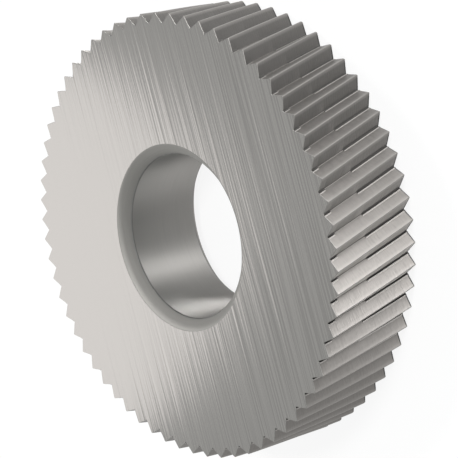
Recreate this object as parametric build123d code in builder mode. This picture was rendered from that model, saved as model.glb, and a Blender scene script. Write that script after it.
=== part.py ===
# Knurling wheel: a hardened steel disc with fine slanting teeth round its rim and a plain bore.
# It lies on one flat face, with the bore axis on Z and the origin where the axis meets that face.
import os
from math import atan, cos, pi, radians, sin, tan

from build123d import *

# Driving dimensions in millimetres and degrees
WHEEL_DIAMETER = 21.5  # over the tooth crests
WHEEL_WIDTH = 5.0
BORE_DIAMETER = 8.0
BORE_CHAMFER = 0.5  # at 45 degrees, at both ends of the bore
TOOTH_PITCH = 1.0  # from crest to crest, square to the teeth
HELIX_ANGLE = 15.0  # between a groove's floor and the bore axis, left hand
FLANK_ANGLE = 90.0  # between the two flanks of a groove, square to the teeth
FLOOR_RADIUS = 0.1  # of the rounded groove floor
CREST_LAND = 0.03  # width of the narrow flat left on each crest

# Teeth round the rim, in radians
wheel_radius = WHEEL_DIAMETER / 2
helix = radians(HELIX_ANGLE)
tooth_count = round(pi * WHEEL_DIAMETER * cos(helix) / TOOTH_PITCH)
half_pitch = pi / tooth_count
half_mouth = half_pitch - CREST_LAND / WHEEL_DIAMETER
half_flank = atan(tan(radians(FLANK_ANGLE / 2)) / cos(helix))

# Section of one groove in the plane of the wheel, with its centre line on X
mouth_x = wheel_radius * cos(half_mouth)
mouth_y = wheel_radius * sin(half_mouth)
root_x = mouth_x - mouth_y / tan(half_flank)  # where the two flanks would meet
floor_centre_x = root_x + FLOOR_RADIUS / sin(half_flank)
floor_x = floor_centre_x - FLOOR_RADIUS
floor_end_x = floor_centre_x - FLOOR_RADIUS * sin(half_flank)
floor_end_y = FLOOR_RADIUS * cos(half_flank)
outside_x = wheel_radius + FLOOR_RADIUS  # the section is open past the crests
outside_y = (outside_x - root_x) * tan(half_flank)

# Axial length in which a groove's floor goes once round the wheel
tooth_lead = 2 * pi * floor_x / tan(helix)

with BuildPart() as knurling_wheel:
    with BuildSketch(mode=Mode.PRIVATE) as groove:
        with BuildLine():
            Line((outside_x, -outside_y), (floor_end_x, -floor_end_y))
            ThreePointArc((floor_end_x, -floor_end_y), (floor_x, 0), (floor_end_x, floor_end_y))
            Line((floor_end_x, floor_end_y), (outside_x, outside_y))
            Line((outside_x, outside_y), (outside_x, -outside_y))
        make_face()

    # Toothed disc with one crest on X, twisted along the bore axis
    with BuildSketch() as toothed_disc:
        Circle(wheel_radius)
        with PolarLocations(0, tooth_count, start_angle=180 / tooth_count):
            add(groove.sketch, mode=Mode.SUBTRACT)
    with BuildLine(mode=Mode.PRIVATE) as wheel_axis:
        Line((0, 0, 0), (0, 0, WHEEL_WIDTH))
    with BuildLine(mode=Mode.PRIVATE) as floor_line:
        Helix(pitch=tooth_lead, height=WHEEL_WIDTH, radius=floor_x, lefthand=True)
    sweep(toothed_disc.sketch, path=wheel_axis.line, binormal=floor_line.line.edge())

    # Bore through the disc, chamfered at both faces
    Hole(BORE_DIAMETER / 2)
    bore_mouths = knurling_wheel.edges(Select.LAST).filter_by(GeomType.CIRCLE)
    chamfer(bore_mouths, BORE_CHAMFER)

knurling_wheel.part.label = "knurling_wheel"

os.makedirs("parts", exist_ok=True)
export_step(knurling_wheel.part, "parts/knurling_wheel.step")
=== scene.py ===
# Looks of the knurling wheel: a hardened steel disc with slanting teeth, lying on a pale floor.
from math import atan, atan2, cos, hypot, pi, radians, sin, tan

import bmesh
import bpy
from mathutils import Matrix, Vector


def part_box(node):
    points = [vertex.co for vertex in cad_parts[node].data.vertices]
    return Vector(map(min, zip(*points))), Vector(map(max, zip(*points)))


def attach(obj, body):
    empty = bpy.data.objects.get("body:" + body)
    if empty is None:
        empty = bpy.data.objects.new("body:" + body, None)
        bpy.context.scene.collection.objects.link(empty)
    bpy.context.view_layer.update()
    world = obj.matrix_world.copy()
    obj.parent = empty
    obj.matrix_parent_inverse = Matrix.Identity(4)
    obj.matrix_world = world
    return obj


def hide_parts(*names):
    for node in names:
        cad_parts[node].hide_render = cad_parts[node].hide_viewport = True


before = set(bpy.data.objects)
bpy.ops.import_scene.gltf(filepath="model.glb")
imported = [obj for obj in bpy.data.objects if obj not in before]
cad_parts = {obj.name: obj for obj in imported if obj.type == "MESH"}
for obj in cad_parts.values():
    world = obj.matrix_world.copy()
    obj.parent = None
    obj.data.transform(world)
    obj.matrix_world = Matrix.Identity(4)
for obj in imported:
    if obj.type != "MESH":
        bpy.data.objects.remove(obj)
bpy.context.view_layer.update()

MM = 0.001
AXIS = (0, 0, 0)

# Sizes of the wheel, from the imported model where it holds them
wheel_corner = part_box("knurling_wheel")[1]
WHEEL_WIDTH = wheel_corner.z
WHEEL_RADIUS = wheel_corner.x
BORE_RADIUS = 4.0 * MM
BORE_CHAMFER = 0.5 * MM

# Teeth
TOOTH_COUNT = 65
PITCH = 2 * pi / TOOTH_COUNT
HELIX_ANGLE = radians(15)
FLANK_ANGLE = radians(90)
FLOOR_RADIUS = 0.1 * MM  # of the solid's groove floor, at which the helix angle holds
PLAIN_RADIUS = 0.05 * MM  # of the groove floor here, where it has no slot
CREST_RADIUS = 0.045 * MM
CREST_PARTS = 4
FLOOR_PARTS = 6
ROW_RISE = 0.55 * MM

# The groove floor has a fine slot with a ledge beside it, and a plain stretch between these heights
PLAIN_START = 2.74 * MM
PLAIN_END = 4.6 * MM
PLAIN_STEP = 0.02 * MM  # in which one floor turns into the other
# Across the slot, in mm along the rim and outward from where the flanks would meet
SLOT = (
    (-0.105, 0.1014), (-0.091, 0.093), (-0.060, 0.086), (-0.046, 0.074),
    (-0.022, 0.018), (0.028, 0.018), (0.080, 0.0773),
)

# Edges broken by grinding
BACK_BREAK = 0.09 * MM
BACK_BREAK_DEPTH = 0.03 * MM
FRONT_BREAK = 0.02 * MM
BORE_BREAK = 0.05 * MM
BREAK_PARTS = 2
CREST_HIGHLIGHT_DEPTH = 0.13 * MM  # how far down from the crest the flanks are lightened, as painted highlight

MERGE_DISTANCE = 0.001 * MM
SMOOTH_ANGLE = radians(18)

# Zones of the rim, by distance from the bore axis
TOOTH_ZONE = WHEEL_RADIUS - 0.6 * MM
SLOT_ZONE = WHEEL_RADIUS - 0.44 * MM
LEDGE_ZONE = WHEEL_RADIUS - 0.39 * MM
CREST_ZONE = WHEEL_RADIUS - 0.04 * MM

# Limits that part the surfaces, on the normal's share along the bore axis or round the wheel
FLAT = 0.99
BACK_EDGE_FALL = -0.4
BORE_TILT = 0.1
BORE_EDGE_TILT = 0.65
CREST_TURN = 0.66
SLOT_WALL_TURN = -0.5

# Camera
CAMERA_PLACE = Vector((71.268, 19.1545, 64.385)) * MM
CAMERA_TURN = (radians(-16.0343), radians(47.6757), radians(-6.0667))
CAMERA_LENS = 156.458
SENSOR_WIDTH = 36
CLIP_START = 1 * MM

# Steel of the ground faces, and of the darker lines on them
STEEL = (0.650, 0.607, 0.583, 1)
LINE_STEEL = (0.55, 0.513, 0.493, 1)

# Steel of the teeth
# The upper and lower flanks have lit and shaded copies of one steel: the lower flanks' darker
# colour is painted shade
UPPER_LIT_STEEL = (0.207, 0.197, 0.187, 1)
UPPER_HIGHLIGHT_STEEL = (0.255, 0.244, 0.233, 1)
LOWER_SHADED_STEEL = (0.082, 0.079, 0.076, 1)
LOWER_HIGHLIGHT_STEEL = (0.195, 0.187, 0.179, 1)
# The crest's lighter steel is painted highlight
CREST_HIGHLIGHT_STEEL = (0.27, 0.259, 0.247, 1)
# The ledge's light steel is painted highlight, a bright line beside the slot
LEDGE_HIGHLIGHT_STEEL = (0.375, 0.359, 0.343, 1)
# The back edge's near-black steel is a painted dark reflection
PAINTED_DARK_EDGE_STEEL = (0.05, 0.049, 0.048, 1)
# The front edge's lighter steel is painted highlight
FRONT_EDGE_HIGHLIGHT_STEEL = (0.30, 0.288, 0.276, 1)
# The slot's dark steels are painted shade in the groove floor
SLOT_SHADE_STEEL = (0.085, 0.082, 0.079, 1)
SLOT_WALL_SHADE_STEEL = (0.14, 0.136, 0.131, 1)

# Steel of the bore
BORE_STEEL = (0.515, 0.50, 0.482, 1)
# The bore's darker steel at its front mouth is painted shade
BORE_MOUTH_SHADE_STEEL = (0.443, 0.43, 0.414, 1)
# The bore edge's darker steel is painted shade
BORE_EDGE_SHADE_STEEL = (0.27, 0.264, 0.257, 1)
CHAMFER_STEEL = (0.325, 0.315, 0.30, 1)
MOUTH_START = 2.4 * MM  # height from which the bore darkens towards its front mouth, as painted shade

# Each finish that has the teeth's grain: its colour, its roughness, and the lighter colour it turns
# to towards the crest, as painted highlight
TOOTH_FINISHES = {
    "back_edge": (PAINTED_DARK_EDGE_STEEL, 0.5, CREST_HIGHLIGHT_STEEL),
    "front_edge": (FRONT_EDGE_HIGHLIGHT_STEEL, 0.5, CREST_HIGHLIGHT_STEEL),
    "crest": (CREST_HIGHLIGHT_STEEL, 0.42, CREST_HIGHLIGHT_STEEL),
    "slot_wall": (SLOT_WALL_SHADE_STEEL, 0.6, SLOT_WALL_SHADE_STEEL),
    "slot": (SLOT_SHADE_STEEL, 0.4, SLOT_SHADE_STEEL),
    "ledge": (LEDGE_HIGHLIGHT_STEEL, 0.42, LEDGE_HIGHLIGHT_STEEL),
    "upper_flank": (UPPER_LIT_STEEL, 0.47, UPPER_HIGHLIGHT_STEEL),
    "lower_flank": (LOWER_SHADED_STEEL, 0.6, LOWER_HIGHLIGHT_STEEL),
    "bore_edge": (BORE_EDGE_SHADE_STEEL, 0.5, BORE_EDGE_SHADE_STEEL),
}
GROUND_ROUGHNESS = 0.085
BORE_ROUGHNESS = 0.6
CHAMFER_ROUGHNESS = 0.75

# How far the gloss is drawn out, from 0 to 1
GROUND_STREAK = 0.6
BORE_STREAK = 1.0

# A fine film that shows where the lower flanks are seen aslant
LOWER_HAZE = 0.55
HAZE_ROUGHNESS = 0.42
HAZE_TINT = (1, 0.95, 0.9, 1)

# Ground lines on the faces: length and width in mm, and how they add up
GRIND_TURN = radians(106)  # of the lines, from X
GROUND_GRAIN = {"detail": 0, "roughness": 0.5, "turn": GRIND_TURN}
GROUND_DEPTH = 0.0013 * MM
FINE_LINES = (8, 0.11)
MIDDLE_LINES = (12, 0.2)
MIDDLE_SHARE = 1.1
WIDE_LINES = (16, 0.42)
WIDE_SHARE = 1.2
DEEP_LINES = (11, 0.18)
DEEP_RANGE = (0.6, 0.8)
DEEP_SHARE = 0.15
DARK_LINES = (9, 0.09)
DARK_RANGE = (0.45, 0.65)
# Places along X between which the dark lines come in, as painted shade
LINES_START = -4 * MM
LINES_END = 5 * MM

# Grain of the teeth and rings of the bore, with lengths in mm along the piece's own axes
TOOTH_GRAIN = {"lengths": (0.4, 0.4, 0.07), "detail": 1, "roughness": 0.6}
TOOTH_GRAIN_DEPTH = 0.007 * MM
TOOTH_GRAIN_TINT = 0.9
RINGS = {"lengths": (2.5, 2.5, 0.06), "detail": 3, "roughness": 0.7}
RING_DEPTH = 0.002 * MM
RING_TINT = 0.94
TINT_RANGE = (0.3, 0.6)
ROUGH_RANGE = (0.3, 0.7)
ROUGH_CHANGE = 0.06

# Floor and light
FLOOR_SIZE = 4
FLOOR_COLOUR = (0.9, 0.9, 0.9, 1)
FLOOR_ROUGHNESS = 0.15
FLOOR_GLOW = 0.88
WHITE = (1, 1, 1, 1)
SKY = (0.418, 0.441, 0.438, 1)

# Lamps: azimuth, elevation and half their width in degrees, radiance, and height over width
LAMP_DISTANCE = 2.0
RING_AZIMUTHS = (0, 90, 135, 176, 225, 270, 315)
LAMPS = (
    ("face_box", 194.4, 31.45, 7.1, 0.59, 1.27),
    ("left_box", 270, 50, 18, 1.8, 1),
    ("back_box", 146, 48, 4, 90.0, 1),
    ("front_box", 65, 66, 7, 34.0, 1),
    ("top_box", 200, 84, 6, 0.3, 1),
    *((f"ring_box_{azimuth}", azimuth, 20, 8, 0.35, 1) for azimuth in RING_AZIMUTHS),
    ("low_box", 234, 5, 14, 7.0, 0.27),
    ("rim_box", 48, 0.95, 25, 262.0, 0.0281),
    ("side_box", 88, 0.95, 14, 75.0, 0.051),
)


# ---------------------------------------------------------------- shaping

def start_edit():
    bpy.ops.object.mode_set(mode="EDIT")
    bpy.ops.mesh.select_mode(type="VERT")


def end_edit():
    bpy.ops.object.mode_set(mode="OBJECT")


def pick(piece, wanted):
    """Selects the vertices for which wanted is true, and nothing else."""
    mesh = bmesh.from_edit_mesh(piece.data)
    bpy.ops.mesh.select_all(action="DESELECT")
    for vert in mesh.verts:
        vert.select = wanted(vert)
    mesh.select_flush(True)
    bmesh.update_edit_mesh(piece.data)


def next_row(rise, factor=1.0):
    """Extrudes the selected row, then resizes the new one about the bore axis."""
    bpy.ops.mesh.extrude_edges_move(TRANSFORM_OT_translate={"value": (0, 0, rise)})
    bpy.ops.transform.resize(value=(factor, factor, 1), center_override=AXIS)


def lay_row(piece, places):
    """Moves the selected row's vertices, in order round the axis, to these places in the plane."""
    mesh = bmesh.from_edit_mesh(piece.data)
    row = sorted((atan2(v.co.y, v.co.x), v.index, v.co.copy()) for v in mesh.verts if v.select)
    for (angle, index, place), (x, y) in zip(row, places, strict=True):
        pick(piece, lambda v: v.index == index)
        bpy.ops.transform.translate(value=(x - place.x, y - place.y, 0))
    numbers = {index for angle, index, place in row}
    pick(piece, lambda v: v.index in numbers)


def polar(radius, angle):
    return radius * cos(angle), radius * sin(angle)


def tooth_outline(slotted):
    """One tooth gap in the plane of the wheel, from the top of one crest to the top of the next.

    The distance from the axis to the solid's groove floor comes with it.
    """
    half_flank = atan(tan(FLANK_ANGLE / 2) / cos(HELIX_ANGLE))
    # The groove is drawn with its centre line on X, then turned by half a pitch
    centre_x, centre_y = polar(WHEEL_RADIUS - CREST_RADIUS, -PITCH / 2)
    root_x = centre_x + (centre_y + CREST_RADIUS / cos(half_flank)) / tan(half_flank)
    floor_centre = root_x + PLAIN_RADIUS / sin(half_flank)
    drawn = []
    for i in range(CREST_PARTS + 1):
        aim = -PITCH / 2 + (pi / 2 - half_flank + PITCH / 2) * i / CREST_PARTS
        drawn.append((centre_x + CREST_RADIUS * cos(aim), centre_y + CREST_RADIUS * sin(aim)))
    if slotted:
        drawn += [(root_x + out * MM, along * MM) for along, out in SLOT]
    else:
        for i in range(FLOOR_PARTS + 1):
            aim = (pi / 2 - half_flank) * (2 * i / FLOOR_PARTS - 1)
            drawn.append((floor_centre - PLAIN_RADIUS * cos(aim), PLAIN_RADIUS * sin(aim)))
    drawn += [(x, -y) for x, y in reversed(drawn[:CREST_PARTS + 1])]
    turned = [polar(hypot(x, y), atan2(y, x) + PITCH / 2) for x, y in drawn]
    return turned, root_x + FLOOR_RADIUS / sin(half_flank) - FLOOR_RADIUS


def rim_rows():
    """Heights of the rows up the rim, each with whether the groove floor has its slot there."""
    stretches = (
        (BACK_BREAK, PLAIN_START, True),
        (PLAIN_START + PLAIN_STEP, PLAIN_END - PLAIN_STEP, False),
        (PLAIN_END, WHEEL_WIDTH - FRONT_BREAK, True),
    )
    rows = []
    for start, end, slotted in stretches:
        steps = max(1, round((end - start) / ROW_RISE))
        rows += [(start + (end - start) * i / steps, slotted) for i in range(steps + 1)]
    return rows


def make_wheel():
    outline, floor_radius = tooth_outline(True)
    plain_outline, _ = tooth_outline(False)
    parts = len(outline) - 1
    twist = -WHEEL_WIDTH * tan(HELIX_ANGLE) / floor_radius
    mouth_radius = BORE_RADIUS + BORE_CHAMFER
    back_shrink = 1 - BACK_BREAK_DEPTH / WHEEL_RADIUS

    bpy.ops.object.select_all(action="DESELECT")
    bpy.ops.mesh.primitive_circle_add(
        vertices=TOOTH_COUNT * parts, radius=BORE_RADIUS, location=(0, 0, BORE_CHAMFER)
    )
    wheel = bpy.context.object
    wheel.name = "ground_wheel"
    bpy.ops.object.transform_apply()
    start_edit()

    # One pitch of the circle is kept, and becomes one tooth's slice of the wheel
    slack = PITCH / parts / 2
    pick(wheel, lambda v: not -slack < atan2(v.co.y, v.co.x) < PITCH + slack)
    bpy.ops.mesh.delete(type="VERT")
    bpy.ops.mesh.select_all(action="SELECT")
    bore_row = [polar(BORE_RADIUS, PITCH * i / parts) for i in range(parts + 1)]
    mouth_row = [polar(mouth_radius, PITCH * i / parts) for i in range(parts + 1)]

    # From the bore over the back face to the rim
    next_row(-BORE_CHAMFER)
    lay_row(wheel, mouth_row)
    next_row(0)
    lay_row(wheel, [(back_shrink * x, back_shrink * y) for x, y in outline])

    # Up the rim to the front face, turned a little at each row
    height = 0.0
    for next_height, slotted in rim_rows():
        next_row(next_height - height)
        turned = twist * (next_height - BACK_BREAK) / (WHEEL_WIDTH - BACK_BREAK - FRONT_BREAK)
        drawn = outline if slotted else plain_outline
        lay_row(wheel, [polar(hypot(x, y), atan2(y, x) + turned) for x, y in drawn])
        height = next_height
    next_row(FRONT_BREAK, 1 - FRONT_BREAK / WHEEL_RADIUS)

    # Back over the front face and down the bore
    next_row(0)
    lay_row(wheel, mouth_row)
    next_row(-BORE_CHAMFER)
    lay_row(wheel, bore_row)
    next_row(2 * BORE_CHAMFER - WHEEL_WIDTH)

    # Every other tooth is a copy of the slice
    bpy.ops.mesh.select_all(action="SELECT")
    bpy.ops.mesh.spin(
        steps=TOOTH_COUNT - 1, dupli=True, angle=2 * pi - PITCH, center=AXIS, axis=(0, 0, 1)
    )
    bpy.ops.mesh.select_all(action="SELECT")
    bpy.ops.mesh.remove_doubles(threshold=MERGE_DISTANCE)
    bpy.ops.mesh.normals_make_consistent(inside=False)

    # The four edges of the bore are broken by a little rounding
    near = BORE_BREAK / 4
    bore_edges = ((BORE_RADIUS, BORE_CHAMFER), (mouth_radius, 0))
    pick(wheel, lambda v: any(
        abs(hypot(v.co.x, v.co.y) - radius) < near
        and min(abs(v.co.z - level), abs(WHEEL_WIDTH - v.co.z - level)) < near
        for radius, level in bore_edges
    ))
    mesh = bmesh.from_edit_mesh(wheel.data)
    for edge in mesh.edges:
        edge.select = edge.select and abs(edge.verts[0].co.z - edge.verts[1].co.z) < near
    bmesh.update_edit_mesh(wheel.data)
    bpy.ops.mesh.select_mode(type="EDGE")
    bpy.ops.mesh.bevel(offset=BORE_BREAK, segments=BREAK_PARTS)
    end_edit()
    return wheel


def smooth(piece, angle):
    """Shades the curved surfaces smooth, and keeps the flat faces flat out to their edges."""
    bpy.ops.object.select_all(action="DESELECT")
    piece.select_set(True)
    bpy.context.view_layer.objects.active = piece
    bpy.ops.object.shade_smooth_by_angle(angle=angle)
    start_edit()
    bpy.ops.mesh.select_mode(type="EDGE")
    bpy.ops.mesh.select_all(action="DESELECT")
    mesh = bmesh.from_edit_mesh(piece.data)
    for edge in mesh.edges:
        flat = [abs(face.normal.z) > FLAT for face in edge.link_faces]
        edge.select = any(flat) and not all(flat)
    bmesh.update_edit_mesh(piece.data)
    bpy.ops.mesh.mark_sharp()
    end_edit()
    weighted = piece.modifiers.new("flat_flanks", "WEIGHTED_NORMAL")
    weighted.keep_sharp = True
    bpy.ops.object.modifier_apply(modifier=weighted.name)


# ---------------------------------------------------------------- finishes

def new_finish(name):
    material = bpy.data.materials.new(name)
    material.use_nodes = True
    return material, material.node_tree, material.node_tree.nodes["Principled BSDF"]


def new_metal(name):
    material, tree, shader = new_finish(name)
    shader.inputs["Metallic"].default_value = 1
    return material, tree, shader


def add_node(tree, kind, values=(), **settings):
    node = tree.nodes.new(kind)
    for key, value in settings.items():
        setattr(node, key, value)
    for key, value in values:
        if isinstance(value, bpy.types.NodeSocket):
            tree.links.new(value, node.inputs[key])
        else:
            node.inputs[key].default_value = value
    return node


def own_place(tree):
    """Place on the piece, on its own axes."""
    return add_node(tree, "ShaderNodeTexCoord").outputs["Object"]


def own_axis(tree, axis):
    """Distance along one of the piece's own axes."""
    return add_node(tree, "ShaderNodeSeparateXYZ", [("Vector", own_place(tree))]).outputs[axis]


def outward(tree):
    """Distance from the bore axis."""
    flat = add_node(
        tree, "ShaderNodeVectorMath", [(0, own_place(tree)), (1, (1, 1, 0))], operation="MULTIPLY"
    )
    length = add_node(
        tree, "ShaderNodeVectorMath", [(0, flat.outputs["Vector"])], operation="LENGTH"
    )
    return length.outputs["Value"]


def grain(tree, lengths, detail, roughness, turn=0.0):
    """Noise stretched to these lengths in mm on the piece's axes, turned about the bore axis."""
    turned = add_node(tree, "ShaderNodeMapping", [
        ("Vector", own_place(tree)), ("Rotation", (0, 0, -turn)),
    ])
    scaled = add_node(tree, "ShaderNodeMapping", [
        ("Vector", turned.outputs["Vector"]),
        ("Scale", tuple(1 / (length * MM) if length else 0 for length in lengths)),
    ])
    noise = add_node(tree, "ShaderNodeTexNoise", [
        ("Vector", scaled.outputs["Vector"]), ("Scale", 1), ("Detail", detail),
        ("Roughness", roughness),
    ])
    return noise.outputs["Fac"]


def ground_lines(tree, size):
    """Lines of this length and width in mm, in the direction in which the faces are ground."""
    return grain(tree, (*size, 0), **GROUND_GRAIN)


def spread(tree, value, low, high, to_low=0.0, to_high=1.0):
    node = add_node(tree, "ShaderNodeMapRange", [
        ("Value", value), ("From Min", low), ("From Max", high), ("To Min", to_low),
        ("To Max", to_high),
    ])
    return node.outputs["Result"]


def calc(tree, operation, a, b):
    node = add_node(tree, "ShaderNodeMath", [(0, a), (1, b)], operation=operation)
    return node.outputs["Value"]


def mixed(tree, share, first, second):
    # The node's sockets share their names, so those for colours are given by number
    mix = add_node(
        tree, "ShaderNodeMix", [("Factor", share), (6, first), (7, second)], data_type="RGBA"
    )
    return mix.outputs[2]


def tinted(tree, colour, value, dark):
    """The colour, darkened to this share where the value is 0."""
    return mixed(tree, value, tuple(dark * c for c in colour[:3]) + (1,), colour)


def add_bump(tree, shader, depth, height):
    bump = add_node(tree, "ShaderNodeBump", [
        ("Strength", 1.0), ("Distance", depth), ("Height", height),
    ])
    tree.links.new(bump.outputs["Normal"], shader.inputs["Normal"])


def roughen(tree, shader, rough, value):
    """Roughness that rises a little with the value."""
    change = spread(tree, value, *ROUGH_RANGE, rough, rough + ROUGH_CHANGE)
    tree.links.new(change, shader.inputs["Roughness"])


def draw_out_gloss(tree, shader, share, along):
    """Draws the gloss out in this direction."""
    shader.inputs["Anisotropic"].default_value = share
    direction = add_node(tree, "ShaderNodeCombineXYZ", zip("XYZ", along))
    tree.links.new(direction.outputs["Vector"], shader.inputs["Tangent"])


def ground_face_finish():
    """Fine straight ground lines, with some longer and deeper ones."""
    material, tree, shader = new_metal("ground_face")
    height = ground_lines(tree, FINE_LINES)
    for size, share in ((MIDDLE_LINES, MIDDLE_SHARE), (WIDE_LINES, WIDE_SHARE)):
        lines = calc(tree, "MULTIPLY", ground_lines(tree, size), share)
        height = calc(tree, "ADD", height, lines)
    deep = spread(tree, ground_lines(tree, DEEP_LINES), *DEEP_RANGE)
    height = calc(tree, "SUBTRACT", height, calc(tree, "MULTIPLY", deep, DEEP_SHARE))
    add_bump(tree, shader, GROUND_DEPTH, height)
    # Dark lines, which come in across the face: real ground lines, darkened only towards +X as
    # painted shade
    painted_shade_side = spread(tree, own_axis(tree, "X"), LINES_START, LINES_END)
    dark = spread(tree, ground_lines(tree, DARK_LINES), *DARK_RANGE)
    colour = mixed(tree, calc(tree, "MULTIPLY", dark, painted_shade_side), STEEL, LINE_STEEL)
    tree.links.new(colour, shader.inputs["Base Color"])
    shader.inputs["Roughness"].default_value = GROUND_ROUGHNESS
    draw_out_gloss(tree, shader, GROUND_STREAK, (-sin(GRIND_TURN), cos(GRIND_TURN), 0))
    return material


def tooth_finish(name, haze=0.0):
    """Grain across the teeth, as grinding leaves it, and a lighter colour towards the crest that is
    painted highlight.
    """
    colour, rough, highlight_colour = TOOTH_FINISHES[name]
    material, tree, shader = new_metal(name)
    fine = grain(tree, **TOOTH_GRAIN)
    add_bump(tree, shader, TOOTH_GRAIN_DEPTH, fine)
    ground = tinted(tree, colour, spread(tree, fine, *TINT_RANGE), TOOTH_GRAIN_TINT)
    # Painted highlight: the colour lightens over the last stretch towards the crest
    highlight_share = spread(tree, outward(tree), WHEEL_RADIUS - CREST_HIGHLIGHT_DEPTH, WHEEL_RADIUS)
    tree.links.new(mixed(tree, highlight_share, ground, highlight_colour), shader.inputs["Base Color"])
    roughen(tree, shader, rough, fine)
    shader.inputs["Sheen Weight"].default_value = haze
    shader.inputs["Sheen Roughness"].default_value = HAZE_ROUGHNESS
    shader.inputs["Sheen Tint"].default_value = HAZE_TINT
    return material


def honed_finish(name, colour, mouth_shade_colour, rough, streak):
    """Fine rings round the bore axis, on a colour that changes a little towards the front mouth,
    where the bore's darkening is painted shade.
    """
    material, tree, shader = new_metal(name)
    rings = grain(tree, **RINGS)
    add_bump(tree, shader, RING_DEPTH, rings)
    mouth_shade_share = spread(tree, own_axis(tree, "Z"), MOUTH_START, WHEEL_WIDTH - BORE_CHAMFER)
    honed = tinted(tree, colour, spread(tree, rings, *TINT_RANGE), RING_TINT)
    tree.links.new(mixed(tree, mouth_shade_share, honed, mouth_shade_colour), shader.inputs["Base Color"])
    roughen(tree, shader, rough, rings)
    draw_out_gloss(tree, shader, streak, (0, 0, 1))
    return material


def finish_at(centre, normal):
    """Name of the finish that belongs at this place on the wheel."""
    radius = hypot(centre.x, centre.y)
    if abs(normal.z) > FLAT:
        return "ground_face"
    if radius < TOOTH_ZONE:
        if abs(normal.z) < BORE_TILT:
            return "honed_bore"
        return "bore_edge" if abs(normal.z) < BORE_EDGE_TILT else "turned_chamfer"
    if centre.z < BACK_BREAK or normal.z < BACK_EDGE_FALL:
        return "back_edge"
    if centre.z > WHEEL_WIDTH - FRONT_BREAK:
        return "front_edge"
    # How far the face looks on round the wheel, against the clock
    onward = (centre.x * normal.y - centre.y * normal.x) / radius
    if radius > CREST_ZONE and abs(onward) < CREST_TURN:
        return "crest"
    if radius < LEDGE_ZONE and not PLAIN_START < centre.z < PLAIN_END:
        if radius > SLOT_ZONE:
            return "ledge"
        return "slot_wall" if onward < SLOT_WALL_TURN else "slot"
    return "upper_flank" if onward > 0 else "lower_flank"


def give_finishes(piece, finishes):
    """Gives each face of the piece the finish that belongs there."""
    for material in finishes:
        piece.data.materials.append(material)
    numbers = {material.name: number for number, material in enumerate(finishes)}
    for face in piece.data.polygons:
        face.material_index = numbers[finish_at(face.center, face.normal)]


# ---------------------------------------------------------------- studio

def lay_floor():
    bpy.ops.object.select_all(action="DESELECT")
    bpy.ops.mesh.primitive_plane_add(size=FLOOR_SIZE)
    floor = bpy.context.object
    floor.name = "floor"
    material, tree, shader = new_finish("pale_floor")
    shader.inputs["Base Color"].default_value = FLOOR_COLOUR
    shader.inputs["Roughness"].default_value = FLOOR_ROUGHNESS
    # What the camera, metal and glass see of the floor is lifted a little, and keeps its shadow
    path = add_node(tree, "ShaderNodeLightPath")
    seen = calc(tree, "ADD", path.outputs["Is Camera Ray"], path.outputs["Is Glossy Ray"])
    seen = calc(tree, "MINIMUM", calc(tree, "ADD", seen, path.outputs["Is Transmission Ray"]), 1)
    glow = add_node(tree, "ShaderNodeEmission", [("Color", WHITE), ("Strength", 1)])
    mix = add_node(tree, "ShaderNodeMixShader", [
        ("Fac", calc(tree, "MULTIPLY", seen, FLOOR_GLOW)),
        (1, shader.outputs["BSDF"]),
        (2, glow.outputs["Emission"]),
    ])
    tree.links.new(mix.outputs["Shader"], tree.nodes["Material Output"].inputs["Surface"])
    floor.data.materials.append(material)


def add_lamp(name, azimuth, elevation, half_width, radiance, stretch):
    """A soft lamp that faces the wheel, given by what the wheel sees of it."""
    a, e = radians(azimuth), radians(elevation)
    towards = Vector((cos(a) * cos(e), sin(a) * cos(e), sin(e)))
    data = bpy.data.lights.new(name, "AREA")
    width = 2 * LAMP_DISTANCE * tan(radians(half_width))
    data.shape = "DISK" if stretch == 1 else "ELLIPSE"
    data.size = width
    data.size_y = width * stretch
    data.energy = radiance * pi * width * width * stretch * pi / 4
    lamp = bpy.data.objects.new(name, data)
    lamp.location = towards * LAMP_DISTANCE
    lamp.rotation_euler = towards.to_track_quat("Z", "Y").to_euler()
    lamp.visible_camera = False
    bpy.context.scene.collection.objects.link(lamp)


def light_studio():
    world = bpy.data.worlds.new("studio")
    bpy.context.scene.world = world
    world.use_nodes = True
    background = world.node_tree.nodes["Background"]
    background.inputs["Color"].default_value = SKY
    background.inputs["Strength"].default_value = 1
    for lamp in LAMPS:
        add_lamp(*lamp)


def add_camera():
    data = bpy.data.cameras.new("camera")
    data.lens = CAMERA_LENS
    data.sensor_width = SENSOR_WIDTH
    data.clip_start = CLIP_START
    camera = bpy.data.objects.new("camera", data)
    camera.location = CAMERA_PLACE
    camera.rotation_euler = CAMERA_TURN
    bpy.context.scene.collection.objects.link(camera)
    bpy.context.scene.camera = camera
    bpy.context.scene.view_settings.view_transform = "Standard"


# ---------------------------------------------------------------- the scene

add_camera()
lay_floor()
light_studio()

wheel = make_wheel()
give_finishes(wheel, [
    ground_face_finish(),
    tooth_finish("back_edge"),
    tooth_finish("front_edge"),
    tooth_finish("crest"),
    tooth_finish("slot_wall"),
    tooth_finish("slot"),
    tooth_finish("ledge"),
    tooth_finish("upper_flank"),
    tooth_finish("lower_flank", LOWER_HAZE),
    honed_finish("honed_bore", BORE_STEEL, BORE_MOUTH_SHADE_STEEL, BORE_ROUGHNESS, BORE_STREAK),
    tooth_finish("bore_edge"),
    honed_finish("turned_chamfer", CHAMFER_STEEL, CHAMFER_STEEL, CHAMFER_ROUGHNESS, 0),
])
smooth(wheel, SMOOTH_ANGLE)

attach(wheel, "root")
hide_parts("knurling_wheel")
